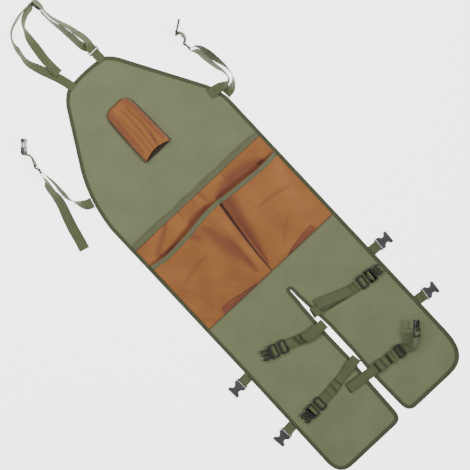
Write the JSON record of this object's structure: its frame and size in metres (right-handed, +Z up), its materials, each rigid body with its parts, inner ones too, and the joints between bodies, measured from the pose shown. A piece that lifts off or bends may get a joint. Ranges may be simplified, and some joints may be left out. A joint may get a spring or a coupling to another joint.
{
  "type": "gardening leg apron",
  "caption": "Olive canvas gardening apron lying flat, with two leg flaps, orange tool pockets, a bib pocket and buckled webbing straps.",
  "frame": {"origin": "bottom centre of the whole object's bounding box, on the surface that it lies on", "axes": "+Z up off the surface, +Y from the hem towards the neck strap, +X towards the right of the front face as seen from above"},
  "size_m": [0.5604, 1.3176, 0.0346],
  "materials": {
    "canvas": "matt waxed cotton canvas, olive green",
    "binding": "matt woven edge tape, dark olive",
    "pocket": "matt cotton canvas, burnt orange, softly wrinkled",
    "tape": "matt woven tape, grey olive",
    "webbing": "ribbed webbing, olive green, slight sheen",
    "black_plastic": "satin moulded plastic, black",
    "grey_plastic": "satin moulded plastic, dark grey"
  },
  "bodies": {
    "root": {"apron_panel": "canvas", "edge_binding": "binding", "bib_pocket": "pocket", "back_pocket_panel": "pocket", "back_pocket_tape": "tape", "front_pocket_panel": "pocket", "front_pocket_tape": "tape", "neck_tab": "webbing", "neck_ring": "black_plastic", "neck_strap": "webbing", "neck_slider": "black_plastic", "waist_strap_left": "webbing", "waist_slider_left": "black_plastic", "waist_socket_left": "grey_plastic", "waist_strap_right": "webbing", "waist_slider_right": "black_plastic", "waist_plug_right": "black_plastic", "leg_tab_right_upper": "webbing", "leg_socket_right_upper": "grey_plastic", "leg_strap_right_upper": "webbing", "leg_slider_right_upper": "black_plastic", "leg_plug_right_upper": "black_plastic", "leg_tab_right_lower": "webbing", "leg_socket_right_lower": "grey_plastic", "leg_strap_right_lower": "webbing", "leg_slider_right_lower": "black_plastic", "leg_plug_right_lower": "black_plastic", "leg_tab_left_upper": "webbing", "leg_socket_left_upper": "grey_plastic", "leg_strap_left_upper": "webbing", "leg_slider_left_upper": "black_plastic", "leg_plug_left_upper": "black_plastic", "leg_tab_left_lower": "webbing", "leg_socket_left_lower": "grey_plastic", "leg_strap_left_lower": "webbing", "leg_slider_left_lower": "black_plastic", "leg_plug_left_lower": "black_plastic"}
  },
  "joints": []
}
